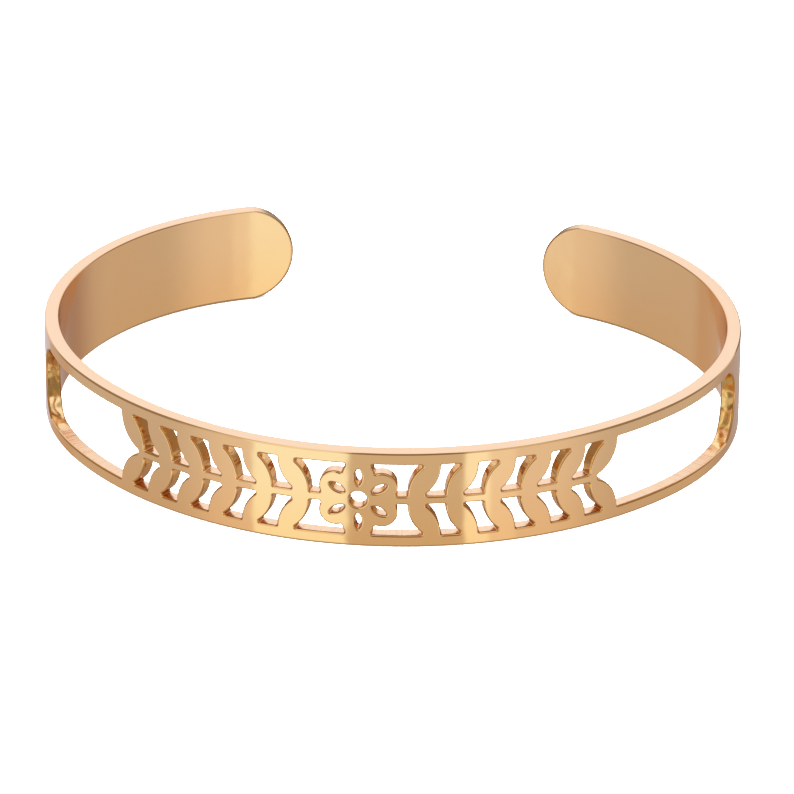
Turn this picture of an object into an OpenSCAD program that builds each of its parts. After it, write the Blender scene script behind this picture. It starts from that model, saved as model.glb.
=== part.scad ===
// Open oval cuff, cut from one strip of metal and bent round: two plain arms with
// round tips, a long open window in each side, and a pierced front panel, where a
// daisy and two leafy sprigs stand between a top rail and a bottom rail.
// The wrist goes through along Z. The pierced front faces -Y and the open back +Y.
// The lower edge lies on z = 0, and the origin is under the middle of the outline.

/* [Oval] */
// Outer width of the oval, side to side
outer_w = 62; // [57:0.5:70]
// Outer depth of the oval, from the front to the backs of the arms
outer_d = 50.8; // [46:0.2:56]
// Gap between the tips of the arms, measured on the outside
tip_gap = 23.6; // [17:0.2:30]

/* [Strip] */
// Height of the strip, along the wrist
strip_h = 9; // [7:0.5:14]
// Thickness of the strip
strip_t = 1.3; // [0.8:0.1:2.5]
// How far the strip sits to the right of the middle of the oval
strip_shift = 0.35; // [-1:0.05:1]
// How much flatter the round tips and window ends are than a half circle
round_ease = 0.08; // [0.04:0.02:0.4]

/* [Rails and windows] */
// Height of the rail above the windows and the pierced panel
top_rail = 1.18; // [0.8:0.02:1.8]
// Height of the rail below the windows and the pierced panel
bottom_rail = 1.12; // [0.8:0.02:1.8]
// Distance along the strip from its middle to the round end of the left window
window_left = 40; // [36:0.5:46]
// Distance along the strip from its middle to the round end of the right window
window_right = 42.5; // [36:0.5:46]

/* [Pierced panel] */
// Half of the length of the pierced panel, to the tips of the last leaves
panel_half = 23.6; // [21:0.2:26]
// Number of leaf pairs on the sprig at each side of the daisy
leaf_pairs = 6; // [3:1:6]
// Spacing of the leaf pairs along a sprig
leaf_pitch = 3.3; // [2.9:0.05:3.4]
// Width of a leaf at its middle
leaf_w = 2; // [1.4:0.05:2.2]
// How much further out the tip of a leaf is than its root
leaf_lean = 2.8; // [2.4:0.1:3.2]
// Height of the stem that the leaves grow from
stem_h = 0.8; // [0.6:0.05:1.2]
// Radius of the bud at the end of each stem
bud_r = 0.75; // [0.5:0.05:1]
// Number of petals on the daisy
petal_count = 6; // [5:1:8]
// Radius of the round end of a petal
petal_r = 1.4; // [1.2:0.05:1.6]
// Radius of the round eye, cut through the middle of the daisy
eye_r = 0.75; // [0.5:0.05:1]
// Solid ring between the eye and the slots in the petals
eye_ring = 0.55; // [0.4:0.05:0.8]
// Length of the slot in each petal
slot_l = 1.6; // [1.1:0.1:1.8]
// Width of the slot in each petal
slot_w = 0.62; // [0.4:0.02:0.7]
// How deep leaves and petals are sunk into the rails
rail_sink = 0.4; // [0.2:0.05:0.6]

/* [Hidden] */
metal = [0.80, 0.62, 0.42];
arc_faces = 360;
hole_faces = 64;

// How far a cutter stands out of both faces of the strip
cut_over = 1;
// How far the cutter of a window runs into what bounds it, and out of both faces
cut_lap = 0.5;

// The front arc and a side arc meet where the radius slopes as in a 3-4-5 triangle
seam_x = 0.8;
seam_y = 0.6;
front_half_angle = asin(seam_x);

// Radii of the front arc and of the side arcs, from the width and the depth, to a
// thousandth, so that both arcs end on exactly the same edge
fine = 1000;
width_share = (1 + seam_y) / (1 - seam_x);
front_r_free = (width_share * outer_w / 2 - outer_d) / (width_share * seam_x - (1 - seam_y));
front_r = round(front_r_free * fine) / fine;
side_r = round((outer_w / 2 - front_r * seam_x) / (1 - seam_x) * fine) / fine;

// Place of the arc centres, from the middle of the front arc
side_cx = (front_r - side_r) * seam_x;
side_back = (front_r - side_r) * seam_y;

// Lengths along the outside, from the middle of the oval
front_run = front_r * front_half_angle * PI / 180;
tip_angle = 180 - asin((tip_gap / 2 - side_cx) / side_r);
strip_half = front_run + side_r * (tip_angle - front_half_angle) * PI / 180;

// Puts the middle of the outline's depth on the origin
far_tip = heading(strip_half + abs(strip_shift));
back_y = -side_back - side_r * cos(min(far_tip, 180));
front_cy = round((front_r - back_y) / 2 * fine) / fine;
side_cy = front_cy - side_back;

// Heights of the openings between the rails
open_h = strip_h - top_rail - bottom_rail;
open_z = bottom_rail + open_h / 2;
tip_r = strip_h / 2 + round_ease;
window_r = open_h / 2 + round_ease;

motif_reach = open_h / 2 + rail_sink;
last_root = panel_half - leaf_lean;

// A corner of a wedge that starts at an arc's centre, at an angle from the front
far = 100;
function spoke(angle, reach = far) = [reach * sin(angle), -reach * cos(angle)];

// Angle from the front at a length along the outside, in degrees
function heading(s) =
    abs(s) <= front_run
    ? s / front_r * 180 / PI
    : sign(s) * (front_half_angle + (abs(s) - front_run) / side_r * 180 / PI);

// Stands the children on the outside of the strip at a length u from its middle,
// with their x along the strip, their y up and their z outwards
module on_strip(u, z) {
    s = u + strip_shift;
    is_side = abs(s) > front_run;
    cx = is_side ? sign(s) * side_cx : 0;
    cy = is_side ? side_cy : front_cy;
    r = is_side ? side_r : front_r;
    translate([cx, cy, z])
        rotate([0, 0, heading(s)])
            translate([0, -r, 0])
                rotate([90, 0, 0])
                    children();
}

// Cuts a flat outline through the strip, square to it at the length u
module cut_through(u, z) {
    on_strip(u, z)
        translate([0, 0, -strip_t - cut_over])
            linear_extrude(strip_t + 2 * cut_over)
                children();
}

// One arc of the strip or of a cutter, between two headings
module arc_piece(cx, cy, r, from, to, z_low, z_high, over) {
    translate([cx, cy, z_low])
        intersection() {
            rotate_extrude($fn = arc_faces)
                translate([r - strip_t - over, 0])
                    square([strip_t + 2 * over, z_high - z_low]);
            translate([0, 0, -cut_over])
                linear_extrude(z_high - z_low + 2 * cut_over)
                    polygon([[0, 0], spoke(from), spoke((from + to) / 2, 2 * far), spoke(to)]);
        }
}

// A stretch of the bent strip between two lengths from its middle
module stretch(u_low, u_high, z_low, z_high, over = 0) {
    s_low = u_low + strip_shift;
    s_high = u_high + strip_shift;
    if (s_low < -front_run)
        arc_piece(-side_cx, side_cy, side_r, heading(s_low),
                  heading(min(s_high, -front_run)), z_low, z_high, over);
    if (s_low < front_run && s_high > -front_run)
        arc_piece(0, front_cy, front_r, heading(max(s_low, -front_run)),
                  heading(min(s_high, front_run)), z_low, z_high, over);
    if (s_high > front_run)
        arc_piece(side_cx, side_cy, side_r, heading(max(s_low, front_run)),
                  heading(s_high), z_low, z_high, over);
}

// What lies outside the round end of a strip or opening that ends at the length u;
// side is 1 for an end at the right and -1 for one at the left
module end_cut(side, u, z, high, r) {
    cut_through(u, z)
        difference() {
            translate([side > 0 ? -r : -2 * cut_over, -high / 2 - cut_over])
                square([r + 2 * cut_over, high + 2 * cut_over]);
            translate([-side * r, 0])
                circle(r, $fn = hole_faces);
        }
}

// A pointed oval along x that starts at the origin
module pointed_oval(len, wide) {
    bow_r = (len * len + wide * wide) / (4 * wide);
    intersection_for (side = [-1, 1])
        translate([len / 2, side * (bow_r - wide / 2)])
            circle(bow_r, $fn = hole_faces);
}

// The two leaves that leave a stem at the origin, towards side 1 or -1
module leaf_pair(side) {
    for (up = [-1, 1])
        rotate([0, 0, atan2(up * motif_reach, side * leaf_lean)])
            pointed_oval(norm([leaf_lean, motif_reach]), leaf_w);
}

// Half of the opening between the rails that lies outside the midribs of a leaf pair
// at x = near and inside a line or the midribs at x = beyond
module bay_outline(side, near, near_lean, beyond, beyond_lean) {
    rib = open_h / 2 / motif_reach;
    polygon([
        [side * near, 0],
        [side * (near + near_lean * rib), open_h / 2],
        [side * (beyond + beyond_lean * rib), open_h / 2],
        [side * beyond, 0],
        [side * (beyond + beyond_lean * rib), -open_h / 2],
        [side * (near + near_lean * rib), -open_h / 2]
    ]);
}

module daisy_outline() {
    ring_r = motif_reach - petal_r;
    circle(ring_r, $fn = hole_faces);
    for (index = [0 : petal_count - 1])
        rotate([0, 0, 90 + index * 360 / petal_count])
            translate([ring_r, 0])
                circle(petal_r, $fn = hole_faces);
}

// The openings between the daisy and the first leaves of one sprig
module daisy_bay_cut(side) {
    first_root = last_root - (leaf_pairs - 1) * leaf_pitch;
    middle = first_root / 2;
    cut_through(side * middle, open_z)
        difference() {
            bay_outline(side, -middle, 0, first_root - middle, leaf_lean);
            translate([-side * middle, 0])
                daisy_outline();
            translate([side * (first_root - middle), 0])
                leaf_pair(side);
            square([2 * first_root, stem_h], center = true);
        }
}

// The openings between two neighbouring leaf pairs; index counts from the panel's end
module leaf_bay_cut(side, index) {
    root = last_root - (index + 1) * leaf_pitch;
    middle = root + (leaf_pitch + leaf_lean) / 2;
    cut_through(side * middle, open_z)
        difference() {
            bay_outline(side, root - middle, leaf_lean, root - middle + leaf_pitch, leaf_lean);
            for (step = [0, 1])
                translate([side * (root - middle + step * leaf_pitch), 0])
                    leaf_pair(side);
            square([2 * leaf_pitch + 2 * leaf_lean, stem_h], center = true);
        }
}

// The last leaf pair of a sprig, its bud and all that lies between their midribs and
// the daisy, with the origin under the tips of the leaves
module sprig_end_outline(side) {
    inner = leaf_lean + 2 * cut_lap;
    translate([-side * leaf_lean, 0]) {
        leaf_pair(side);
        circle(bud_r, $fn = hole_faces);
    }
    polygon([
        [-side * leaf_lean, 0],
        [0, motif_reach],
        [-side * inner, motif_reach],
        [-side * inner, -motif_reach],
        [0, -motif_reach]
    ]);
}

// One window, from the last leaves of a sprig to its round end
module window_cut(side, window_end) {
    low = last_root - cut_lap;
    high = window_end + cut_lap;
    difference() {
        stretch(side > 0 ? low : -high, side > 0 ? high : -low,
                bottom_rail, bottom_rail + open_h, cut_lap);
        cut_through(side * panel_half, open_z)
            sprig_end_outline(side);
        end_cut(side, side * window_end, open_z, open_h, window_r);
    }
}

// The eye of the daisy and the slots in its petals
module daisy_slots_cut() {
    cut_through(0, open_z)
        circle(eye_r, $fn = hole_faces);
    for (index = [0 : petal_count - 1])
        cut_through(0, open_z)
            rotate([0, 0, 90 + index * 360 / petal_count])
                translate([eye_r + eye_ring, 0])
                    pointed_oval(slot_l, slot_w);
}

module cuff() {
    color(metal)
        difference() {
            stretch(-strip_half - cut_over, strip_half + cut_over, 0, strip_h);
            for (side = [-1, 1])
                end_cut(side, side * strip_half, strip_h / 2, strip_h, tip_r);
            window_cut(-1, window_left);
            window_cut(1, window_right);
            for (side = [-1, 1]) {
                daisy_bay_cut(side);
                for (index = [0 : leaf_pairs - 2])
                    leaf_bay_cut(side, index);
            }
            daisy_slots_cut();
        }
}

cuff();
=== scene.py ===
"""Studio scene for an open oval cuff bracelet in polished rose-gold plating.

The cuff is one strip of metal. It is made here as the real one is: a flat strip is
pierced, its cut edges are rounded over by tumbling, and it is then bent to the oval
that the frame holds. Sizes inside the classes are millimetres where they don't say
otherwise. They are those of the solid in the frame, and the strip's places become
metres as they are bent.
"""

import logging
import math
from dataclasses import dataclass, field
from enum import Enum, IntEnum
from typing import Iterable, Optional, Union

import bmesh
import bpy
from bmesh.types import BMEdge, BMesh, BMFace, BMVert
from mathutils import Matrix, Vector
from mathutils.geometry import intersect_line_sphere_2d, intersect_sphere_sphere_2d


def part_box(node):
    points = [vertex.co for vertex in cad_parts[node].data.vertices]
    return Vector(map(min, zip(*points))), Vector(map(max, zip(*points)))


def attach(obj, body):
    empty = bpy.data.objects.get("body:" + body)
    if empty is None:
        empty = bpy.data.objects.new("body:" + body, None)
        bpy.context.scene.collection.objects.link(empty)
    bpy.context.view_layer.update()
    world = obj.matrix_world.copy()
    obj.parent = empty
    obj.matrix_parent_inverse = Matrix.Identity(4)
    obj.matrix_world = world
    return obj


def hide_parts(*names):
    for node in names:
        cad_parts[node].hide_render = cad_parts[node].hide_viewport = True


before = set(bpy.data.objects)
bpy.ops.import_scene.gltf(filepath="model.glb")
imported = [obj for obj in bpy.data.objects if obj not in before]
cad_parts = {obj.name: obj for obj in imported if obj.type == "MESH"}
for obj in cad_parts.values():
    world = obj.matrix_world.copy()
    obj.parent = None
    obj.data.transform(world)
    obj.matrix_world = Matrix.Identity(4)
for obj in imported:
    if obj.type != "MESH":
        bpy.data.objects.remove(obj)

log = logging.getLogger("cuff_scene")

MM = 0.001
HALF_TURN = 180.0
UPWARD = 90.0
MATRIX_SIZE = 4
NOISE_MIDDLE = 0.5
PHOTO_SIDE = 794
CUFF_NODE = "cuff"
BODY = "root"


class Attribute(str, Enum):
    """Names of the mesh attributes that the strip carries, most for its material."""

    PLACE = "strip_place"
    AIRWARD = "airward"
    FACING = "facing"
    EDGE = "edge_turn"
    SAWN = "sawn_wall"


class Void(Enum):
    """Which side of a round stretch of outline is open air."""

    INSIDE = 1
    OUTSIDE = -1


class MixSocket(IntEnum):
    """Sockets of a Mix node for colours, which share their names with others."""

    FACTOR = 0
    LOW = 6
    HIGH = 7
    RESULT = 2


def of_kind(kind: type, geometry: Iterable) -> list:
    """The items of some geometry that are of one kind."""
    return [item for item in geometry if isinstance(item, kind)]


def in_scene(name: str, data: bpy.types.ID) -> bpy.types.Object:
    """Puts a new object in the scene.

    Args:
        name: Its name.
        data: Its mesh, light or camera.

    Returns:
        The object.
    """
    made = bpy.data.objects.new(name, data)
    bpy.context.scene.collection.objects.link(made)
    return made


def mesh_of(work: BMesh, name: str) -> bpy.types.Mesh:
    """Ends a work mesh.

    Args:
        work: What was drawn.
        name: Name of the mesh that takes it up.

    Returns:
        The new mesh.
    """
    mesh = bpy.data.meshes.new(name)
    work.to_mesh(mesh)
    work.free()
    return mesh


# Flat outlines


@dataclass(frozen=True)
class Straight:
    """A straight stretch of an outline, with open air to the left of its course.

    Args:
        point: A point on it.
        course: Unit vector of travel.
    """

    point: Vector
    course: Vector

    def shifted(self, gap: float) -> "Straight":
        """The same stretch, moved by gap towards the open air."""
        return Straight(self.point + self.airward(self.point) * gap, self.course)

    def foot(self, place: Vector) -> Vector:
        """The nearest point on the stretch's line to a place."""
        return self.point + self.course * self.course.dot(place - self.point)

    def airward(self, place: Vector) -> Vector:
        """The unit vector that points from the metal into the open air."""
        return Vector((-self.course.y, self.course.x))

    def mapped(self, matrix: Matrix, keeps_hand: bool) -> "Straight":
        """The stretch moved by a matrix that keeps lengths.

        Args:
            matrix: The move.
            keeps_hand: False for a mirror image, which is travelled backwards.

        Returns:
            The moved stretch.
        """
        tip = map_point(matrix, self.point + self.course)
        point = map_point(matrix, self.point)
        course = (tip - point).normalized()
        return Straight(point, course if keeps_hand else -course)


@dataclass(frozen=True)
class Round:
    """A round stretch of an outline.

    Args:
        centre: Centre of its circle.
        radius: Radius of its circle.
        void: Whether the open air is inside or outside the circle.
    """

    centre: Vector
    radius: float
    void: Void

    def shifted(self, gap: float) -> "Round":
        """The same stretch, moved by gap towards the open air."""
        return Round(self.centre, self.radius - self.void.value * gap, self.void)

    def foot(self, place: Vector) -> Vector:
        """The nearest point on the stretch's circle to a place."""
        return self.centre + (place - self.centre).normalized() * self.radius

    def airward(self, place: Vector) -> Vector:
        """The unit vector that points from the metal into the open air."""
        return (self.centre - place).normalized() * self.void.value

    def mapped(self, matrix: Matrix, keeps_hand: bool) -> "Round":
        """The stretch moved by a matrix that keeps lengths."""
        return Round(map_point(matrix, self.centre), self.radius, self.void)


Side = Union[Straight, Round]


def map_point(matrix: Matrix, point: Vector) -> Vector:
    """A flat point moved by a 4 by 4 matrix."""
    return (matrix @ point.to_3d()).to_2d()


def crossing(one: Side, other: Side, near: Vector) -> Vector:
    """Where two stretches cross.

    Args:
        one: A stretch.
        other: The stretch that follows it; two straight ones never do.
        near: Picks the crossing that is nearest to it.

    Returns:
        The crossing point.
    """
    if isinstance(one, Round) and isinstance(other, Round):
        found = intersect_sphere_sphere_2d(one.centre, one.radius, other.centre, other.radius)
    else:
        line, ring = (one, other) if isinstance(one, Straight) else (other, one)
        found = intersect_line_sphere_2d(
            line.point, line.point + line.course, ring.centre, ring.radius, False
        )
    points = [Vector(p) for p in found if p is not None]
    if not points:
        raise ValueError(f"stretches {one} and {other} do not meet")
    return min(points, key=lambda p: (p - near).length)


@dataclass(frozen=True)
class Corner:
    """Where two stretches of an outline meet, rounded by a small radius.

    Args:
        near: A point near the corner.
        radius: Radius of its rounding.
        void: Whether the rounding's centre lies in the open air or in the metal.
    """

    near: Vector
    radius: float
    void: Void = Void.INSIDE

    def rounding(self, before: Side, after: Side) -> Round:
        """The round stretch that joins the two sides of the corner.

        Args:
            before: The side that leads to the corner.
            after: The side that leads away from it.

        Returns:
            The rounding.
        """
        gap = self.radius * self.void.value
        centre = crossing(before.shifted(gap), after.shifted(gap), self.near)
        return Round(centre, self.radius, self.void)


@dataclass(frozen=True)
class Outline:
    """A closed outline, travelled with the open air on its left.

    Args:
        sides: Its stretches in order. A single round one is a whole circle.
        corners: The corner after each of its sides; none for a circle.
    """

    sides: tuple[Side, ...]
    corners: tuple[Corner, ...] = ()

    def mapped(self, matrix: Matrix) -> "Outline":
        """The outline moved, turned or mirrored.

        Args:
            matrix: What moves it; it keeps lengths.

        Returns:
            The moved outline, with the open air still on its left.
        """
        keeps_hand = matrix.determinant() > 0
        sides = [side.mapped(matrix, keeps_hand) for side in self.sides]
        corners = [Corner(map_point(matrix, c.near), c.radius, c.void) for c in self.corners]
        if not keeps_hand:
            # Each corner still comes after its side, so the last one stays where it is
            sides.reverse()
            corners = corners[-2::-1] + corners[-1:]
        return Outline(tuple(sides), tuple(corners))

    def legs(self) -> list[tuple[Side, Vector, Vector]]:
        """The outline's stretches and the roundings between them.

        Returns:
            Each of them in order, with its start and end points.
        """
        if not self.corners:
            ring = self.sides[0]
            start = ring.centre + Vector((ring.radius, 0))
            return [(ring, start, start)]
        pairs = list(zip(self.sides, self.sides[1:] + self.sides[:1]))
        joins = [corner.rounding(*pair) for corner, pair in zip(self.corners, pairs)]
        found: list[tuple[Side, Vector, Vector]] = []
        for i, (side, following) in enumerate(pairs):
            end = side.foot(joins[i].centre)
            found.append((side, side.foot(joins[i - 1].centre), end))
            found.append((joins[i], end, following.foot(joins[i].centre)))
        return found


# The bent oval


@dataclass
class Oval:
    """The plan of the bent strip: one front arc and two side arcs, tangent.

    Args:
        width: Outer width of the closed oval.
        depth: Outer depth of the closed oval.
        tip_gap: Gap between the tips, measured outside.
        shift: How far the strip sits to the right of the middle.
        straight_end: Length at each tip that the bending left straight.
        seam: Sine and cosine of the heading at which the arcs meet.
    """

    width: float = 62.0
    depth: float = 50.8
    tip_gap: float = 23.6
    shift: float = 0.35
    straight_end: float = 3.4
    seam: Vector = field(default_factory=lambda: Vector((0.8, 0.6)))

    def __post_init__(self) -> None:
        """Works out the arcs as the frame's solid has them."""
        share = (1 + self.seam.y) / (1 - self.seam.x)
        half = self.width / 2
        self.front_r = (share * half - self.depth) / (share * self.seam.x - (1 - self.seam.y))
        self.side_r = (half - self.front_r * self.seam.x) / (1 - self.seam.x)
        self.side_cx = (self.front_r - self.side_r) * self.seam.x
        self.seam_heading = math.asin(self.seam.x)
        self.front_run = self.front_r * self.seam_heading
        tip_heading = math.pi - math.asin((self.tip_gap / 2 - self.side_cx) / self.side_r)
        self.half_length = self.front_run + self.side_r * (tip_heading - self.seam_heading)
        side_back = (self.front_r - self.side_r) * self.seam.y
        far = min(tip_heading + abs(self.shift) / self.side_r, math.pi)
        self.front_cy = (self.front_r + side_back + self.side_r * math.cos(far)) / 2
        self.side_cy = self.front_cy - side_back

    def bent(self, run: float) -> float:
        """The nearest length along the outside that lies on an arc."""
        limit = self.half_length - self.straight_end
        return min(max(run, self.shift - limit), self.shift + limit)

    def heading(self, run: float) -> float:
        """The heading of the strip.

        Args:
            run: Length along the outside.

        Returns:
            The angle from the front, in radians.
        """
        run = self.bent(run)
        if abs(run) <= self.front_run:
            return run / self.front_r
        beyond = (abs(run) - self.front_run) / self.side_r
        return math.copysign(self.seam_heading + beyond, run)

    def bend(self, place: Vector) -> Vector:
        """A place on the flat strip, in metres on the oval.

        Args:
            place: Length along the strip, height, and depth out of its outer face.

        Returns:
            The place in the frame.
        """
        on_side = abs(place.x) > self.front_run
        centre_x = math.copysign(self.side_cx, place.x) if on_side else 0.0
        centre_y = self.side_cy if on_side else self.front_cy
        reach = (self.side_r if on_side else self.front_r) + place.z
        straight = place.x - self.bent(place.x)
        offset = self.turn(Vector((straight, place.y, reach)), place.x)
        return MM * (Vector((centre_x, centre_y, 0)) + offset)

    def turn(self, direction: Vector, run: float) -> Vector:
        """A direction on the flat strip, turned as bending turns it.

        Args:
            direction: Its parts along the strip, up, and out of its outer face.
            run: Length along the outside.

        Returns:
            The direction in the frame.
        """
        heading = self.heading(run)
        along = Vector((math.cos(heading), math.sin(heading), 0.0))
        outward = Vector((math.sin(heading), -math.cos(heading), 0.0))
        return along * direction.x + Vector((0, 0, direction.y)) + outward * direction.z


# The ornament


@dataclass(frozen=True)
class Ornament:
    """The daisy and the two leafy sprigs, and the corners of their openings.

    Args:
        half: Half of the panel's length, to the tips of the last leaves.
        open_h: Height of the openings between the rails.
        leaf_pairs: Leaf pairs on each sprig.
        leaf_pitch: Spacing of the pairs.
        leaf_w: Width of a leaf.
        leaf_lean: How much further out a leaf's tip is than its root.
        stem_h: Height of a stem.
        petal_count: Petals on the daisy.
        petal_r: Radius of a petal's round end.
        eye_r: Radius of the daisy's eye.
        eye_ring: Metal between the eye and the slots of the petals.
        slot_l: Length of a petal's slot.
        slot_w: Width of a petal's slot.
        rail_sink: How deep leaves and petals sink into the rails.
        corner_r: Rounding of the openings' corners.
        crotch_r: Rounding between the last two leaves of a sprig.
        slot_corner_r: Rounding of the slots' ends.
    """

    half: float
    open_h: float
    leaf_pairs: int = 6
    leaf_pitch: float = 3.3
    leaf_w: float = 2.0
    leaf_lean: float = 2.8
    stem_h: float = 0.8
    petal_count: int = 6
    petal_r: float = 1.4
    eye_r: float = 0.75
    eye_ring: float = 0.55
    slot_l: float = 1.6
    slot_w: float = 0.62
    rail_sink: float = 0.4
    corner_r: float = 0.15
    crotch_r: float = 0.27
    slot_corner_r: float = 0.1

    @property
    def reach(self) -> float:
        """Height of leaves and petals from the middle."""
        return self.open_h / 2 + self.rail_sink

    @property
    def rail_edge(self) -> Straight:
        """The lower edge of the top rail."""
        return Straight(Vector((0, self.open_h / 2)), Vector((-1, 0)))

    @property
    def stem_edge(self) -> Straight:
        """The upper edge of a stem."""
        return Straight(Vector((0, self.stem_h / 2)), Vector((1, 0)))

    def root(self, index: int) -> float:
        """Where the leaf pair with that index grows, counted from the daisy."""
        last = self.half - self.leaf_lean
        return last - (self.leaf_pairs - 1 - index) * self.leaf_pitch

    def leaf_edge(self, root: float, outer: bool) -> tuple[Round, Vector]:
        """One edge of an upper leaf and the point where it bulges most.

        Args:
            root: Where the leaf grows.
            outer: The edge away from the daisy, or else the one towards it.

        Returns:
            The edge and its bulge.
        """
        axis = Vector((self.leaf_lean, self.reach))
        bow = (axis.length_squared + self.leaf_w**2) / (4 * self.leaf_w)
        across = Vector((axis.y, -axis.x)).normalized() * (1 if outer else -1)
        middle = Vector((root, 0)) + axis / 2
        centre = middle - across * (bow - self.leaf_w / 2)
        return Round(centre, bow, Void.OUTSIDE), middle + across * (self.leaf_w / 2)

    def petal(self, degrees: float) -> tuple[Round, Vector]:
        """The round end of a petal.

        Args:
            degrees: Angle of the petal, from the right.

        Returns:
            The round end and its rightmost point.
        """
        angle = math.radians(degrees)
        reach = self.reach - self.petal_r
        centre = Vector((math.cos(angle), math.sin(angle))) * reach
        return Round(centre, self.petal_r, Void.OUTSIDE), centre + Vector((self.petal_r, 0))

    def bay(self, sides: tuple[Side, ...], nears: tuple[Vector, ...]) -> Outline:
        """An opening whose corners are all rounded alike.

        Args:
            sides: Its sides in order.
            nears: A point near the corner after each of them.

        Returns:
            The outline.
        """
        corners = [
            Corner(crossing(one, other, near), self.corner_r)
            for one, other, near in zip(sides, sides[1:] + sides[:1], nears)
        ]
        return Outline(sides, tuple(corners))

    def leaf_bay(self, index: int) -> Outline:
        """The upper opening between two leaf pairs.

        Args:
            index: Which pair is the one nearer to the daisy, counted from there.

        Returns:
            The outline.
        """
        inner, inner_bulge = self.leaf_edge(self.root(index), True)
        outer, outer_bulge = self.leaf_edge(self.root(index + 1), False)
        return self.bay(
            (self.stem_edge, outer, self.rail_edge, inner),
            (outer_bulge, outer_bulge, inner_bulge, inner_bulge),
        )

    def daisy_bay(self) -> Outline:
        """The upper opening between the daisy and the first leaves to its right.

        Returns:
            The outline.
        """
        leaf, leaf_bulge = self.leaf_edge(self.root(0), False)
        step = 2 * HALF_TURN / self.petal_count
        top, top_bulge = self.petal(UPWARD)
        low, low_bulge = self.petal(UPWARD - step)
        return self.bay(
            (self.stem_edge, leaf, self.rail_edge, top, low),
            (leaf_bulge, leaf_bulge, top_bulge, top_bulge, low_bulge),
        )

    def slots(self) -> list[Outline]:
        """The daisy's eye and the pointed slots in its petals.

        Returns:
            The eye, then the slots.
        """
        bow = (self.slot_l**2 + self.slot_w**2) / (4 * self.slot_w)
        low = Round(Vector((self.slot_l / 2, bow - self.slot_w / 2)), bow, Void.INSIDE)
        high = Round(Vector((self.slot_l / 2, self.slot_w / 2 - bow)), bow, Void.INSIDE)
        pointed = Outline(
            (low, high),
            (
                Corner(Vector((self.slot_l, 0)), self.slot_corner_r),
                Corner(Vector((0, 0)), self.slot_corner_r),
            ),
        )
        out = Matrix.Translation((self.eye_r + self.eye_ring, 0, 0))
        found = [Outline((Round(Vector((0, 0)), self.eye_r, Void.INSIDE),))]
        for index in range(self.petal_count):
            angle = math.radians(UPWARD + index * 2 * HALF_TURN / self.petal_count)
            turn = Matrix.Rotation(angle, MATRIX_SIZE, "Z")
            found.append(pointed.mapped(turn @ out))
        return found

    def window(self, end: float, end_r: float, ease_r: float) -> Outline:
        """The long opening from the last leaves to its round end, at the right.

        Args:
            end: How far its round end is from the middle.
            end_r: Radius of the round end, slightly more than half of the height.
            ease_r: Radius that eases the round end into the rails.

        Returns:
            The outline.
        """
        upper, bulge = self.leaf_edge(self.root(self.leaf_pairs - 1), True)
        flip = Matrix.Diagonal((1, -1, 1, 1))
        lower = upper.mapped(flip, False)
        top = self.rail_edge
        bottom = top.mapped(flip, False)
        cap = Round(Vector((end - end_r, 0)), end_r, Void.INSIDE)
        cap_low, cap_high = (Vector((end - end_r / 2, s * end_r)) for s in (-1, 1))
        crotch = Vector((self.root(self.leaf_pairs - 1) + self.leaf_w / 2, 0))
        return Outline(
            (bottom, cap, top, upper, lower),
            (
                Corner(crossing(bottom, cap, cap_low), ease_r),
                Corner(crossing(cap, top, cap_high), ease_r),
                Corner(crossing(top, upper, bulge), self.corner_r),
                Corner(crotch, self.crotch_r),
                Corner(crossing(lower, bottom, map_point(flip, bulge)), self.corner_r),
            ),
        )

    def openings(self) -> list[Outline]:
        """Every opening of the panel itself, without the windows.

        Returns:
            Those of the daisy, then the bays of both sprigs.
        """
        upper = [self.daisy_bay()]
        upper += [self.leaf_bay(index) for index in range(self.leaf_pairs - 1)]
        found = self.slots()
        for across in (1, -1):
            for up in (1, -1):
                flip = Matrix.Diagonal((across, up, 1, 1))
                found += [bay.mapped(flip) for bay in upper]
        return found


# The strip


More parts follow.
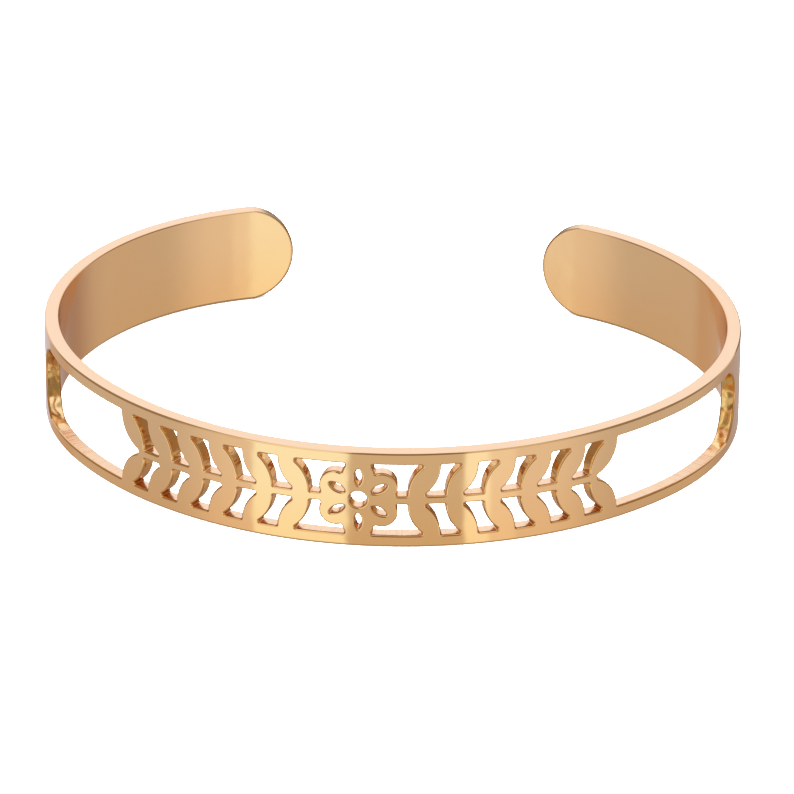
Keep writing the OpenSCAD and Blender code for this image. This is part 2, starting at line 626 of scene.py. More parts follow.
@dataclass
class Strip:
    """The pierced strip, before and after it is bent.

    Args:
        oval: The plan that it is bent to.
        height: Height of the strip.
        thickness: Thickness of the strip.
        top_rail: Height of the rail above the openings.
        bottom_rail: Height of the rail below the openings.
        panel_half: Half of the length of the pierced panel.
        window_ends: Distance of each window's round end from the middle.
        round_ease: How much larger an end's radius is than half of its height.
        tumble_r: Radius of the rounded outer edges of the strip.
        hole_tumble_r: Radius of the rounded outer edges of its openings.
        inner_tumble_r: Radius of the rounded edges of the inner face.
        worn_r: The same at the tips and along the bottom, which wear down more.
        tumble_steps: Faces across a rounded edge.
        slice_step: Longest stretch of the strip that a flat face may span.
        tip_ease: Radius that eases the round tips into the long edges.
        window_ease: Radius that eases the windows' ends into the rails.
        chord: Longest edge on a round stretch.
        line_step: Longest edge on a straight stretch.
        round_steps: Fewest edges on a round stretch.
        weld: How close points are when they count as one.
        cut_slack: How close to a cut a corner is when it counts as on it.
    """

    oval: Oval
    height: float
    thickness: float = 1.3
    top_rail: float = 1.18
    bottom_rail: float = 1.12
    panel_half: float = 23.6
    window_ends: dict[int, float] = field(default_factory=lambda: {-1: 40.0, 1: 42.5})
    round_ease: float = 0.08
    tumble_r: float = 0.22
    hole_tumble_r: float = 0.18
    inner_tumble_r: float = 0.13
    worn_r: float = 0.34
    tumble_steps: int = 4
    slice_step: float = 0.9
    tip_ease: float = 1.5
    window_ease: float = 0.6
    chord: float = 0.14
    line_step: float = 0.45
    round_steps: int = 3
    weld: float = 0.007
    cut_slack: float = 0.009

    @property
    def window_reach(self) -> tuple[float, float]:
        """The middle between the windows' round ends, and how far they are from it."""
        left, right = (across * self.window_ends[across] for across in (-1, 1))
        return self.oval.shift + (left + right) / 2, (right - left) / 2

    def outlines(self) -> tuple[Outline, list[Outline]]:
        """The outlines to cut, in place on the flat strip.

        Returns:
            The outside of the strip, and its openings.
        """
        open_h = self.height - self.top_rail - self.bottom_rail
        ornament = Ornament(self.panel_half, open_h)
        holes = ornament.openings()
        end_r = open_h / 2 + self.round_ease
        for across, end in self.window_ends.items():
            window = ornament.window(end, end_r, self.window_ease)
            holes.append(window.mapped(Matrix.Diagonal((across, 1, 1, 1))))
        shift = self.oval.shift
        in_place = Matrix.Translation((shift, self.bottom_rail + open_h / 2, 0))
        holes = [hole.mapped(in_place) for hole in holes]
        rim = self.rim().mapped(Matrix.Translation((shift, self.height / 2, 0)))
        return rim, holes

    def rim(self) -> Outline:
        """The outside of the strip.

        Returns:
            The outline, about the middle of the strip.
        """
        tip_r = self.height / 2 + self.round_ease
        reach = self.oval.half_length - tip_r
        top = Straight(Vector((0, self.height / 2)), Vector((1, 0)))
        bottom = Straight(Vector((0, -self.height / 2)), Vector((-1, 0)))
        tips = {s: Round(Vector((s * reach, 0)), tip_r, Void.OUTSIDE) for s in (1, -1)}
        order = ((top, 1, 1), (bottom, 1, -1), (bottom, -1, -1), (top, -1, 1))
        corners = []
        for line, across, up in order:
            near = tips[across].centre + Vector((across * tip_r / 2, up * tip_r))
            near = crossing(line, tips[across], near)
            corners.append(Corner(near, self.tip_ease, Void.OUTSIDE))
        return Outline((top, tips[1], bottom, tips[-1]), tuple(corners))

    def trace(self, work: BMesh, outline: Outline, tumble_r: float) -> list[BMEdge]:
        """Draws an outline where the flat outer face ends and its rounding begins.

        Args:
            work: The mesh to draw in; its airward layer is filled in.
            outline: What to draw.
            tumble_r: Radius of its rounding.

        Returns:
            The edges of the closed loop.
        """
        air = work.verts.layers.float_vector[Attribute.AIRWARD.value]
        known_verts, known_edges = set(work.verts), set(work.edges)
        legs = outline.legs()
        inset = -tumble_r
        side, start, _ = legs[0]
        begin = side.shifted(inset).foot(start)
        last = bmesh.ops.create_vert(work, co=begin.to_3d())["vert"][0]
        last[air] = side.airward(start).to_3d()
        for side, start, end in legs:
            drawn = side.shifted(inset)
            tail, head = drawn.foot(start), drawn.foot(end)
            drawn_before = set(work.verts)
            if isinstance(side, Straight):
                span = head - tail
                steps = max(1, math.ceil(span.length / self.line_step))
                sweep = {"dvec": (span / steps).to_3d(), "angle": 0.0}
            else:
                angle = swept(side, start, end)
                arc = abs(angle) * drawn.radius
                steps = max(self.round_steps, math.ceil(arc / self.chord))
                sweep = {"cent": side.centre.to_3d(), "angle": angle}
            made = bmesh.ops.spin(work, geom=[last], axis=(0, 0, 1), steps=steps, **sweep)
            last = of_kind(BMVert, made["geom_last"])[0]
            for vert in set(work.verts) - drawn_before:
                vert[air] = side.airward(vert.co.to_2d()).to_3d()
        fresh = [vert for vert in work.verts if vert not in known_verts]
        bmesh.ops.remove_doubles(work, verts=fresh, dist=self.weld)
        return [edge for edge in work.edges if edge not in known_edges]

    def rounding(
        self, air: Vector, station: tuple[float, int], tumble_r: float, sawn: float
    ) -> Vector:
        """How far a station of the cut edge lies from the corner of the outer face.

        Args:
            air: Unit vector into the open air.
            station: Angle turned from the face to the wall, and 1 at the outer face
                or -1 at the inner one.
            tumble_r: Radius of the rounding at the outer face.
            sawn: 1 on the wall of an opening, 0 on the rim of the strip.

        Returns:
            The offset.
        """
        angle, face = station
        radius, corner = tumble_r, 0.0
        if face < 0:
            worn = (1 - sawn) * (1 - max(air.y, 0.0))
            radius = self.inner_tumble_r + worn * (self.worn_r - self.inner_tumble_r)
            corner = -self.thickness
        out = radius * (math.sin(angle) - 1)
        return air * out + Vector((0, 0, corner - face * radius * (1 - math.cos(angle))))

    def round_over(
        self, work: BMesh, loop: list[BMEdge], tumble_r: float, sawn: float
    ) -> list[BMEdge]:
        """Takes a loop round the outer edge, through the wall and round the inner edge.

        Args:
            work: The mesh that holds the loop.
            loop: Edges where the flat outer face ends.
            tumble_r: Radius of the rounding at the outer face.
            sawn: 1 on the wall of an opening, 0 on the filed rim of the strip.

        Returns:
            The edges where the flat inner face begins.
        """
        air = work.verts.layers.float_vector[Attribute.AIRWARD.value]
        facing = work.verts.layers.float_vector[Attribute.FACING.value]
        edge_turn = work.verts.layers.float[Attribute.EDGE.value]
        sawn_wall = work.verts.layers.float[Attribute.SAWN.value]
        quarter = [i * math.pi / 2 / self.tumble_steps for i in range(self.tumble_steps + 1)]
        stations = [(a, 1) for a in quarter] + [(a, -1) for a in reversed(quarter)]
        for before, after in zip([stations[0], *stations], stations):
            angle, face = after
            if before != after:
                loop = of_kind(BMEdge, bmesh.ops.extrude_edge_only(work, edges=loop)["geom"])
            for vert in {v for edge in loop for v in edge.verts}:
                vert.co += self.rounding(vert[air], after, tumble_r, sawn)
                vert.co -= self.rounding(vert[air], before, tumble_r, sawn)
                out = Vector((0, 0, face * math.cos(angle)))
                vert[facing] = vert[air] * math.sin(angle) + out
                vert[edge_turn] = angle / (math.pi / 2)
                vert[sawn_wall] = sawn
        return loop

    def slice_faces(self, work: BMesh, flat: list[BMFace]) -> None:
        """Cuts long flat faces across the strip, so that they bend as smoothly as it does.

        Faces, edges and corners keep their order, so that each run cuts them alike.

        Args:
            work: The mesh that holds the faces.
            flat: The triangles of the flat outer and inner faces.
        """
        pending = dict.fromkeys(flat)
        reach = self.oval.half_length + abs(self.oval.shift)
        last = math.ceil(reach / self.slice_step)
        for index in range(1 - last, last):
            cut = index * self.slice_step
            crossed = []
            for face in pending:
                spots = [vert.co.x for vert in face.verts]
                if min(spots) < cut < max(spots) and max(spots) - min(spots) > self.slice_step:
                    crossed.append(face)
            if not crossed:
                continue
            edges = dict.fromkeys(edge for face in crossed for edge in face.edges)
            verts = dict.fromkeys(vert for face in crossed for vert in face.verts)
            made = bmesh.ops.bisect_plane(
                work,
                geom=[*crossed, *edges, *verts],
                dist=self.cut_slack,
                plane_co=(cut, 0, 0),
                plane_no=(1, 0, 0),
            )
            pending.update(dict.fromkeys(of_kind(BMFace, made["geom"])))

    def build(self, name: str) -> bpy.types.Object:
        """Pierces, tumbles and bends the strip.

        Args:
            name: Name of the new object.

        Returns:
            The object, with its place in its mesh.
        """
        work = bmesh.new()
        work.verts.layers.float_vector.new(Attribute.AIRWARD.value)
        facing = work.verts.layers.float_vector.new(Attribute.FACING.value)
        work.verts.layers.float.new(Attribute.EDGE.value)
        work.verts.layers.float.new(Attribute.SAWN.value)
        place = work.verts.layers.float_vector.new(Attribute.PLACE.value)
        rim, holes = self.outlines()
        cuts = [(rim, self.tumble_r, 0.0)]
        cuts += [(hole, self.hole_tumble_r, 1.0) for hole in holes]
        outer = [self.trace(work, outline, radius) for outline, radius, _ in cuts]
        inner = [
            self.round_over(work, loop, radius, sawn)
            for loop, (_, radius, sawn) in zip(outer, cuts)
        ]
        flat = []
        for loops in (outer, inner):
            edges = [edge for loop in loops for edge in loop]
            filled = bmesh.ops.triangle_fill(work, use_beauty=True, edges=edges)
            flat += of_kind(BMFace, filled["geom"])
        self.slice_faces(work, flat)
        bmesh.ops.recalc_face_normals(work, faces=work.faces)
        normals = []
        for vert in work.verts:
            normals.append(self.oval.turn(vert[facing], vert.co.x))
            vert[place] = vert.co
            vert.co = self.oval.bend(vert.co)
        for face in work.faces:
            face.smooth = True
        mesh = mesh_of(work, name)
        mesh.normals_split_custom_set_from_vertices(normals)
        return in_scene(name, mesh)


def swept(ring: Round, start: Vector, end: Vector) -> float:
    """The angle travelled on a round stretch.

    Args:
        ring: The stretch.
        start: Where the travel starts.
        end: Where it ends; a whole turn on from the start, if they are one.

    Returns:
        The angle in radians, counted anticlockwise.
    """
    full = 2 * math.pi
    if end == start:
        return full * ring.void.value
    here, there = start - ring.centre, end - ring.centre
    angle = math.atan2(there.y, there.x) - math.atan2(here.y, here.x)
    return angle % full if ring.void is Void.INSIDE else angle % full - full


# Shaders


Value = Union["Wire", float, tuple]


@dataclass(frozen=True)
class Step:
    """A soft step over a measure, 0 below low and 1 above high."""

    low: float
    high: float


@dataclass(frozen=True)
class Grain:
    """A noise in the metal, which shows as relief, as colour or as both.

    Args:
        scale: About how many of its waves lie in a millimetre.
        relief: Its height in millimetres.
        stretch: Factors on its scale along, up and through the strip.
        detail: How many finer noises lie over it.
    """

    scale: float
    relief: float = 0.0
    stretch: tuple[float, float, float] = (1.0, 1.0, 1.0)
    detail: float = 2.0


class Wire:
    """A shader socket with arithmetic: an expression on it adds Math nodes."""

    def __init__(self, graph: "Graph", socket: Optional[bpy.types.NodeSocket]) -> None:
        """Wraps an output socket of a graph, or none for a node that has none."""
        self.graph = graph
        self.socket = socket

    def __add__(self, other: Value) -> "Wire":
        """Sum."""
        return self.graph.math("ADD", self, other)

    def __radd__(self, other: Value) -> "Wire":
        """Sum, reflected."""
        return self.graph.math("ADD", other, self)

    def __sub__(self, other: Value) -> "Wire":
        """Difference."""
        return self.graph.math("SUBTRACT", self, other)

    def __rsub__(self, other: Value) -> "Wire":
        """Difference, reflected."""
        return self.graph.math("SUBTRACT", other, self)

    def __mul__(self, other: Value) -> "Wire":
        """Product."""
        return self.graph.math("MULTIPLY", self, other)

    def __rmul__(self, other: Value) -> "Wire":
        """Product, reflected."""
        return self.graph.math("MULTIPLY", other, self)

    def above(self, step: Step) -> "Wire":
        """A mask of high values.

        Args:
            step: Where it rises.

        Returns:
            The mask, 1 above the step and 0 below it.
        """
        settings = {"interpolation_type": "SMOOTHSTEP"}
        inputs = {"Value": self, "From Min": step.low, "From Max": step.high}
        return self.graph.node("ShaderNodeMapRange", settings, inputs)

    def below(self, step: Step) -> "Wire":
        """A mask of low values, 1 below the step and 0 above it."""
        return 1 - self.above(step)

    def size(self) -> "Wire":
        """The value without its sign."""
        return self.graph.math("ABSOLUTE", self)


class Graph:
    """A node tree that is written as expressions."""

    def __init__(self, tree: bpy.types.NodeTree) -> None:
        """Starts from an empty tree."""
        tree.nodes.clear()
        self.tree = tree

    def node(
        self,
        kind: str,
        settings: Optional[dict] = None,
        inputs: Optional[dict] = None,
        output: Union[int, str] = 0,
    ) -> Wire:
        """Adds a node.

        Args:
            kind: The node's type.
            settings: Its properties, set first.
            inputs: Values or wires of its sockets, by name or number.
            output: Which of its outputs to return.

        Returns:
            The output as a wire.
        """
        made = self.tree.nodes.new(kind)
        for name, value in (settings or {}).items():
            setattr(made, name, value)
        for name, value in (inputs or {}).items():
            socket = made.inputs[name]
            if isinstance(value, Wire):
                self.tree.links.new(value.socket, socket)
            else:
                socket.default_value = value
        return Wire(self, made.outputs[output] if made.outputs else None)

    def math(self, operation: str, *values: Value) -> Wire:
        """A Math node on one to three values."""
        return self.node("ShaderNodeMath", {"operation": operation}, dict(enumerate(values)))

    def mix(self, factor: Value, low: Value, high: Value) -> Wire:
        """A mix of two colours; a factor of 0 gives the low one."""
        inputs = {MixSocket.FACTOR: factor, MixSocket.LOW: low, MixSocket.HIGH: high}
        return self.node("ShaderNodeMix", {"data_type": "RGBA"}, inputs, MixSocket.RESULT)

    def noise(self, place: Wire, grain: Grain) -> Wire:
        """The noise of a grain.

        Args:
            place: The places on the strip.
            grain: The noise's scale, stretch and detail.

        Returns:
            The noise, from 0 to 1.
        """
        stretch = {0: place, 1: grain.stretch}
        spot = self.node("ShaderNodeVectorMath", {"operation": "MULTIPLY"}, stretch)
        inputs = {"Vector": spot, "Scale": grain.scale, "Detail": grain.detail}
        return self.node("ShaderNodeTexNoise", inputs=inputs)

    def attribute(self, attribute: Attribute, output: str) -> Wire:
        """A mesh attribute, as a vector or a number."""
        settings = {"attribute_name": attribute.value}
        return self.node("ShaderNodeAttribute", settings, output=output)

    def part(self, vector: Value, axis: str) -> Wire:
        """One component of a vector."""
        return self.node("ShaderNodeSeparateXYZ", inputs={0: vector}, output=axis)


def rgba(red: float, green: float, blue: float) -> tuple[float, float, float, float]:
    """A linear colour with its alpha."""
    return red, green, blue, 1.0


@dataclass(frozen=True)
class Zones:
    """Where the finishes of the strip begin and end.

    A turn of an edge is 0 on a face and 1 on a wall. A side is the distance from the
    middle of the strip, and heights are counted from its lower edge.

    Args:
        inner: Depth where the inner face ends, in thicknesses.
        wall: Turn from which an edge is a wall.
        upright: How far a wall faces along the strip, from a ledge to a side wall.
        cast: Distance from a window's end to which its wall is left as cast.
        arris_turn: Turn from which the edges of the openings are yellower.
        tip_turn: Turn from which the rim of an arm's tip takes the painted dark reflection.
        tip_face: How far that rim faces along the strip.
        foot_turn: Turn from which the lower edge takes the painted dark reflection.
        foot_height: Height up to which it is.
        foot_side: Side from which it is.
        rising: Heights over which the painted shade along the bottom rail fades into the
            colour of the faces.
        corner_shade_height: Height up to which the side walls take painted shade, redder in
            their lower corners.
        warm_side: Side up to which the inner face is warmer, with painted shade of the floor
            that it mirrors inside the cuff.
        hollow_side: Side up to which it takes the painted reflection of itself.
        deep: Height on the lumps, from 0 to 1, up to which they take painted shade, redder in
            the hollows.
        scored: Depth of the file marks, from 0 to 1, from which they are redder.
    """

    inner: Step = Step(-0.9, -0.7)
    wall: Step = Step(0.75, 1.0)
    upright: Step = Step(0.3, 0.8)
    cast: Step = Step(3.6, 5.6)
    arris_turn: Step = Step(0.1, 0.5)
    tip_turn: Step = Step(0.15, 0.6)
    tip_face: Step = Step(0.25, 0.6)
    foot_turn: Step = Step(0.1, 0.4)
    foot_height: Step = Step(0.25, 0.45)
    foot_side: Step = Step(20.0, 36.0)
    rising: Step = Step(-2.0, 8.0)
    corner_shade_height: Step = Step(1.4, 3.2)
    warm_side: Step = Step(58.0, 70.0)
    hollow_side: Step = Step(48.0, 55.0)
    deep: Step = Step(0.34, 0.48)
    scored: Step = Step(0.45, 0.65)


class StripMap:
    """Places on the strip, and masks over it from 0 to 1, as wires.

    Attributes:
        place: Place on the flat strip, in millimetres.
        height: Height over the lower edge.
        side: Distance from the middle, along the strip.
        inner: The inner face.
        arris: The outer edges of the openings.
        tip_edge: The rims of the arm tips.
        foot_edge: The lower edge at the sides.
        cast: The walls of the windows' round ends.
        side_wall: The other walls of openings that face along the strip.
        ledge: Those that face up or down.
        filed: The ledges, and the rim of the strip.
    """

    def __init__(self, graph: Graph, strip: Strip, zones: Zones) -> None:
        """Lays the masks out.

        Args:
            graph: Where the wires run.
            strip: The strip, whose sizes tell its inner face and window ends.
            zones: Where the finishes begin and end.
        """
        self.place = graph.attribute(Attribute.PLACE, "Vector")
        along, self.height, depth = (graph.part(self.place, axis) for axis in "XYZ")
        self.side = along.size()
        middle, reach = strip.window_reach
        from_end = reach - (along - middle).size()
        edge = graph.attribute(Attribute.EDGE, "Fac")
        sawn = graph.attribute(Attribute.SAWN, "Fac")
        facing = graph.part(graph.attribute(Attribute.AIRWARD, "Vector"), "X").size()
        rim = 1 - sawn

        face = Step(zones.inner.low * strip.thickness, zones.inner.high * strip.thickness)
        self.inner = depth.below(face)
        self.arris = edge.above(zones.arris_turn) * sawn * (1 - self.inner)
        tip = edge.above(zones.tip_turn) * rim
        self.tip_edge = tip * facing.above(zones.tip_face)
        foot = edge.above(zones.foot_turn) * rim * self.height.below(zones.foot_height)
        self.foot_edge = foot * self.side.above(zones.foot_side)
        wall = edge.above(zones.wall)
        self.cast = wall * sawn * from_end.below(zones.cast)
        cut = wall * sawn - self.cast
        self.side_wall = cut * facing.above(zones.upright)
        self.ledge = cut * facing.below(zones.upright)
        self.filed = wall - self.side_wall - self.cast


@dataclass(frozen=True)
class RoseGold:
    """Polished rose-gold plating over brass.

    Args:
        body: Colour of the polished faces.
        painted_floor_shade: Painted shade on the faces along the bottom rail, darker and
            warmer there, as they mirror the shaded floor by the cuff's foot.
        hollow_reflection: Painted reflection on the inner face at the sides, darker and
            redder, where it mirrors itself.
        filed: Colour of the filed edges and of the ledges of the openings.
        sawn: Colour of the side walls of the ornament.
        painted_recess_shade: Painted shade, darker and redder, in their lower corners and in
            the hollows between lumps.
        cast: Colour of the round ends of the windows, which are left as cast.
        painted_dark_reflection: Painted dark reflection on the rims of the arm tips, and on
            the lower edges at the sides, which mirror dark surroundings and the cuff's shadow
            on the table.
        stain: Colour of the thin places in the plating.
        warm_share: How far the inner face takes the painted shade of the floor that it
            mirrors.
        deep_share: How far the hollows between the lumps take the painted shade.
        tip_share: How far the rims of the tips take the painted dark reflection.
        foot_share: How far the lower edges take the painted dark reflection.
        cloud_share: How far the clouds take the stain.
        score_share: How far the file marks take it.
        face_rough: Roughness of the outer face.
        inner_rough: Roughness of the inner face, which is only brushed.
        filed_rough: Roughness of the filed edges and ledges.
        sawn_rough: Roughness of the side walls of the openings.
        cloud_rough: How much the roughness wanders over the faces.
        clouds: Thin and thick places in the plating.
        waves: The long waves that polishing leaves.
        brush_marks: Brush marks on the inner face.
        file_marks: File marks on the ledges.
        ripples: Ripples on the ornament's side walls.
        lumps: Lumps on the windows' ends.
        zones: Where all of these begin and end.
    """

    body: tuple = rgba(0.90, 0.61, 0.345)
    painted_floor_shade: tuple = rgba(0.90, 0.54, 0.25)
    hollow_reflection: tuple = rgba(0.70, 0.35, 0.115)
    filed: tuple = rgba(0.90, 0.60, 0.33)
    sawn: tuple = rgba(0.86, 0.48, 0.18)
    painted_recess_shade: tuple = rgba(0.64, 0.20, 0.045)
    cast: tuple = rgba(0.95, 0.66, 0.28)
    painted_dark_reflection: tuple = rgba(0.36, 0.265, 0.145)
    stain: tuple = rgba(0.80, 0.44, 0.20)
    warm_share: float = 0.6
    deep_share: float = 0.6
    tip_share: float = 0.7
    foot_share: float = 0.6
    cloud_share: float = 0.1
    score_share: float = 0.3
    face_rough: float = 0.07
    inner_rough: float = 0.12
    filed_rough: float = 0.2
    sawn_rough: float = 0.14
    cloud_rough: float = 0.03
    clouds: Grain = Grain(0.25)
    waves: Grain = Grain(0.35, relief=0.02, detail=1.0)
    brush_marks: Grain = Grain(2.0, relief=0.002, stretch=(6.0, 0.5, 1.0))
    file_marks: Grain = Grain(1.0, relief=0.02, stretch=(4.5, 0.4, 0.4))
    ripples: Grain = Grain(1.9, relief=0.07, stretch=(1.0, 1.0, 0.3))
    lumps: Grain = Grain(0.95, relief=0.42, stretch=(0.8, 0.8, 0.9), detail=0.0)
    zones: Zones = Zones()

    def colour(self, graph: Graph, spots: StripMap, cloud: Wire) -> Wire:
        """The colour of the metal.

        Args:
            graph: Where the wires run.
            spots: The masks of the strip.
            cloud: The clouds in the plating.

        Returns:
            The colour.
        """
        zones, inner = self.zones, spots.inner
        scored = graph.noise(spots.place, self.file_marks).above(zones.scored)
        deep = graph.noise(spots.place, self.lumps).below(zones.deep)
        stained = cloud * self.cloud_share + spots.ledge * scored * self.score_share
        # Painted shade: the faces darker and warmer towards the bottom, as they mirror the
        # shaded floor by the cuff's foot
        colour = graph.mix(spots.height.above(zones.rising), self.painted_floor_shade, self.body)
        for mask, paint in (
            # Painted shade on the inner face, warmer and darker, as it mirrors the shaded
            # floor inside the cuff
            (inner * spots.side.below(zones.warm_side) * self.warm_share, self.painted_floor_shade),
            # Painted reflection: the inner face at the sides darker and redder, where it
            # mirrors itself
            (inner * spots.side.below(zones.hollow_side), self.hollow_reflection),
            (spots.arris, self.sawn),
            (spots.filed, self.filed),
            (spots.side_wall, self.sawn),
            # Painted shade in the lower corners of the side walls
            (spots.side_wall * spots.height.below(zones.corner_shade_height), self.painted_recess_shade),
            (spots.cast, self.cast),
            # Painted shade in the hollows between the lumps of the windows' ends
            (spots.cast * deep * self.deep_share, self.painted_recess_shade),
            # Painted dark reflection on the rims of the arm tips
            (spots.tip_edge * self.tip_share, self.painted_dark_reflection),
            # Painted shade on the lower edges at the sides, as they mirror the cuff's shadow
            # on the table
            (spots.foot_edge * self.foot_share, self.painted_dark_reflection),
            (stained, self.stain),
        ):
            colour = graph.mix(mask, colour, paint)
        return colour

    def roughness(self, spots: StripMap, cloud: Wire) -> Wire:
        """The roughness of the metal.

        Args:
            spots: The masks of the strip.
            cloud: The clouds in the plating.

        Returns:
            The roughness.
        """
        rough = self.face_rough + (cloud - NOISE_MIDDLE) * self.cloud_rough
        for mask, target in (
            (spots.inner, self.inner_rough),
            (spots.filed + spots.cast, self.filed_rough),
            (spots.side_wall, self.sawn_rough),
        ):
            rough = rough + mask * (target - self.face_rough)
        return rough

    def relief(self, graph: Graph, spots: StripMap) -> Wire:
        """The relief of the metal.

        Args:
            graph: Where the wires run.
            spots: The masks of the strip.

        Returns:
            The height of its surface, in millimetres.
        """
        relief = graph.noise(spots.place, self.waves) * self.waves.relief
        for mask, grain in (
            (spots.inner, self.brush_marks),
            (spots.side_wall, self.ripples),
            (spots.ledge, self.file_marks),
            (spots.cast, self.lumps),
        ):
            relief = relief + graph.noise(spots.place, grain) * mask * grain.relief
        return relief

    def material(self, name: str, strip: Strip) -> bpy.types.Material:
        """Builds the material.

        Args:
            name: Its name.
            strip: The strip that it covers.

        Returns:
            The material.
        """
        metal = bpy.data.materials.new(name)
        metal.use_nodes = True
        graph = Graph(metal.node_tree)
        spots = StripMap(graph, strip, self.zones)
        cloud = graph.noise(spots.place, self.clouds)
        height = self.relief(graph, spots)
        bump = graph.node("ShaderNodeBump", inputs={"Distance": MM, "Height": height})
        inputs = {
            "Base Color": self.colour(graph, spots, cloud),
            "Metallic": 1.0,
            "Roughness": self.roughness(spots, cloud),
            "Normal": bump,
        }
        shader = graph.node("ShaderNodeBsdfPrincipled", inputs=inputs)
        graph.node("ShaderNodeOutputMaterial", inputs={"Surface": shader})
        return metal


# The studio


@dataclass(frozen=True)
class Card:
    """A soft-edged light or dark card round the cuff, as its metal mirrors it.

    Args:
        middle: Its middle, in degrees: from the front to the right, and up.
        reach: How far it reaches from there, in degrees: across and up.
        soft: Width of its soft edges, in degrees: across and up.
        colour: Its brightness.
    """

    middle: tuple[float, float]
    reach: tuple[float, float]
    soft: tuple[float, float]
    colour: tuple


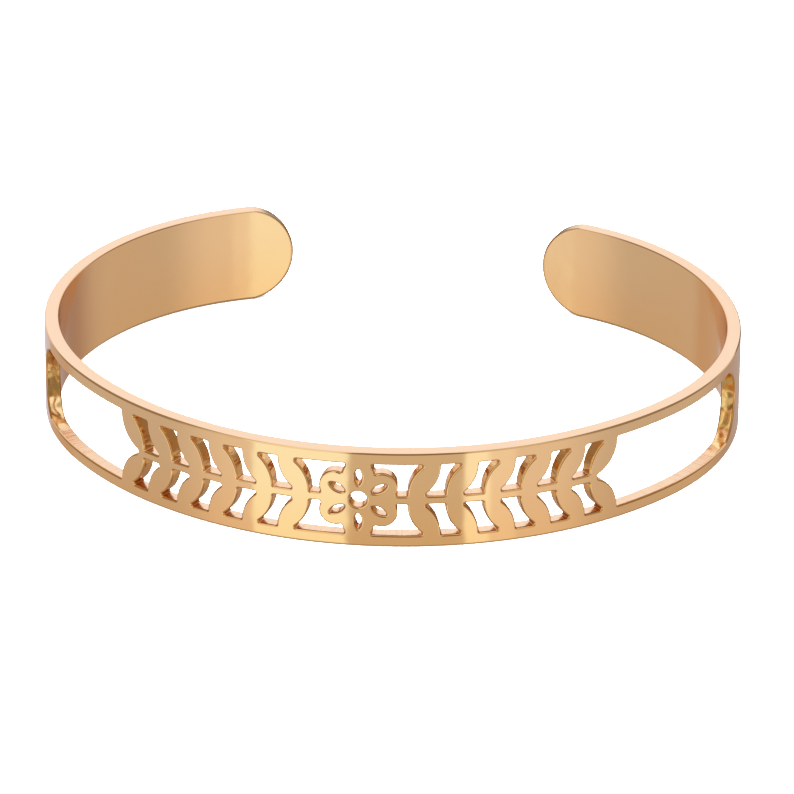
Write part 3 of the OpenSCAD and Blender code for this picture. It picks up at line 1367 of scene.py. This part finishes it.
@dataclass
class Studio:
    """The floor, the light and the camera.

    Args:
        azimuth: Where the camera stands, in degrees from the front to the right.
        elevation: How steeply it looks down, in degrees.
        distance: How far it stands from what it looks at.
        target: What it looks at.
        roll: How far it leans, in degrees.
        focal_px: Its focal length in pixels of the photograph.
        film: Width of its film, in millimetres.
        sight: The nearest and furthest that it sees, in metres.
        floor_side: Side of the square floor, in metres.
        paper: Colour of the floor.
        glow: How brightly the floor glows, like a light table.
        lamp_size: Width of the softbox, in metres.
        lamp_height: How high it hangs, in metres.
        lamp_power: Its power in watts.
        ambient: Light between the cards.
        cards: The cards of the tent, each laid over those before it.
    """

    azimuth: float = 6.676
    elevation: float = 25.976
    distance: float = 600.1
    target: tuple[float, float, float] = (1.723, -8.727, 6.372)
    roll: float = -0.438
    focal_px: float = 6852.4
    film: float = 36.0
    sight: tuple[float, float] = (0.01, 100.0)
    floor_side: float = 20.0
    paper: tuple = rgba(0.93, 0.93, 0.93)
    glow: tuple = rgba(0.45, 0.45, 0.45)
    lamp_size: float = 2.5
    lamp_height: float = 1.0
    lamp_power: float = 120.0
    ambient: tuple = rgba(0.64, 0.60, 0.57)
    cards: tuple[Card, ...] = (
        # The table falls off towards the back, and is brightest near the front
        Card((180, -45), (48, 90), (36, 10), rgba(0.49, 0.41, 0.39)),
        Card((-133, -45), (14, 90), (10, 10), rgba(0.60, 0.48, 0.38)),
        Card((-161, -45), (14, 90), (6, 10), rgba(0.68, 0.63, 0.70)),
        Card((4, -45), (62, 45), (30, 10), rgba(0.86, 0.80, 0.74)),
        # Bright panels to the left and right of the lens, and the dark gap between
        Card((-24, -45), (15.5, 45), (2, 10), rgba(1.1, 1.24, 1.16)),
        Card((34.5, -45), (9, 45), (2.5, 10), rgba(0.96, 0.92, 0.84)),
        Card((30.5, -45), (4.5, 45), (2, 10), rgba(1.1, 1.18, 1.08)),
        Card((9, -45), (18, 45), (2, 10), rgba(0.69, 0.63, 0.53)),
        # The foot of the cuff mirrors its own shadow on the table
        Card((0, -90), (180, 54), (2, 10), rgba(0.44, 0.39, 0.33)),
        # White behind and above, between dark corners, and over a dark room in front
        Card((180, 0), (180, 14), (2, 10), rgba(0.92, 0.84, 0.80)),
        Card((160, -4), (14, 17), (6, 8), rgba(0.20, 0.15, 0.10)),
        Card((-168, -14), (6, 10), (4, 8), rgba(0.24, 0.18, 0.12)),
        Card((0, 90), (180, 78), (2, 12), rgba(1.1, 1.17, 1.45)),
        Card((2, 22), (128, 38), (24, 10), rgba(0.34, 0.27, 0.20)),
        # The panels reach up into the dark room
        Card((-34, 22), (26, 38), (20, 10), rgba(0.75, 0.70, 0.60)),
        Card((42, 22), (22, 38), (26, 10), rgba(0.72, 0.66, 0.56)),
        Card((-24, 22), (15.5, 38), (4, 10), rgba(1.0, 1.0, 0.88)),
        Card((9, 22), (18, 38), (4, 10), rgba(0.28, 0.21, 0.15)),
    )

    def build_camera(self) -> None:
        """Stands the camera where the photograph was taken from."""
        data = bpy.data.cameras.new("camera")
        data.sensor_width = self.film
        data.lens = self.focal_px * self.film / PHOTO_SIDE
        data.clip_start, data.clip_end = self.sight
        turn, rise = math.radians(self.azimuth), math.radians(self.elevation)
        across = math.cos(rise)
        back = Vector((math.sin(turn) * across, -math.cos(turn) * across, math.sin(rise)))
        place = Vector(self.target) + back * self.distance
        upright = back.to_track_quat("Z", "Y").to_matrix().to_4x4()
        lean = Matrix.Rotation(-math.radians(self.roll), MATRIX_SIZE, "Z")
        camera = in_scene("camera", data)
        camera.matrix_world = Matrix.Translation(place * MM) @ upright @ lean
        bpy.context.scene.camera = camera

    def build_floor(self) -> None:
        """Lays the plain pale floor."""
        work = bmesh.new()
        bmesh.ops.create_grid(work, x_segments=1, y_segments=1, size=self.floor_side / 2)
        floor = in_scene("floor", mesh_of(work, "floor"))
        paper = bpy.data.materials.new("white_paper")
        paper.use_nodes = True
        graph = Graph(paper.node_tree)
        lit = graph.node("ShaderNodeBsdfDiffuse", inputs={"Color": self.paper})
        glow = graph.node("ShaderNodeEmission", inputs={"Color": self.glow})
        shader = graph.node("ShaderNodeAddShader", inputs={0: lit, 1: glow})
        graph.node("ShaderNodeOutputMaterial", inputs={"Surface": shader})
        floor.data.materials.append(paper)
        floor.visible_glossy = False

    def build_light(self) -> None:
        """Hangs a wide softbox over the floor and paints the tent of cards."""
        lamp = bpy.data.lights.new("softbox", "AREA")
        lamp.shape = "DISK"
        lamp.size = self.lamp_size
        lamp.energy = self.lamp_power
        softbox = in_scene("softbox", lamp)
        softbox.location = (0.0, 0.0, self.lamp_height)
        softbox.visible_glossy = False

        world = bpy.data.worlds.new("tent")
        world.use_nodes = True
        bpy.context.scene.world = world
        graph = Graph(world.node_tree)
        way = graph.node("ShaderNodeTexCoord", output="Generated")
        x, y, z = (graph.part(way, axis) for axis in "XYZ")
        azimuth = graph.math("ARCTAN2", x, 0 - y) * (HALF_TURN / math.pi)
        elevation = graph.math("ARCSINE", z) * (HALF_TURN / math.pi)
        light: Value = self.ambient
        for card in self.cards:
            across = graph.math("WRAP", azimuth - card.middle[0], HALF_TURN, -HALF_TURN)
            up = elevation - card.middle[1]
            mask = self.near(across, card.reach[0], card.soft[0])
            mask = mask * self.near(up, card.reach[1], card.soft[1])
            light = graph.mix(mask, light, card.colour)
        shader = graph.node("ShaderNodeBackground", inputs={"Color": light})
        graph.node("ShaderNodeOutputWorld", inputs={"Surface": shader})

    @staticmethod
    def near(offset: Wire, reach: float, soft: float) -> Wire:
        """A mask that is 1 where an offset is under a reach, with a soft end."""
        return offset.size().below(Step(reach - soft / 2, reach + soft / 2))


def main() -> None:
    """Builds the studio and the cuff, and hands the cuff to the frame."""
    logging.basicConfig(level=logging.INFO, format="%(name)s: %(message)s")
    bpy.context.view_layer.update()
    bpy.context.scene.view_settings.view_transform = "Standard"
    studio = Studio()
    studio.build_camera()
    studio.build_floor()
    studio.build_light()

    low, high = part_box(CUFF_NODE)
    strip = Strip(Oval(), height=(high[2] - low[2]) / MM)
    cuff = strip.build("pierced_cuff")
    cuff.data.materials.append(RoseGold().material("rose_gold_plating", strip))
    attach(cuff, BODY)
    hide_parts(CUFF_NODE)
    log.info("cuff: %d faces", len(cuff.data.polygons))


if __name__ == "__main__":
    main()
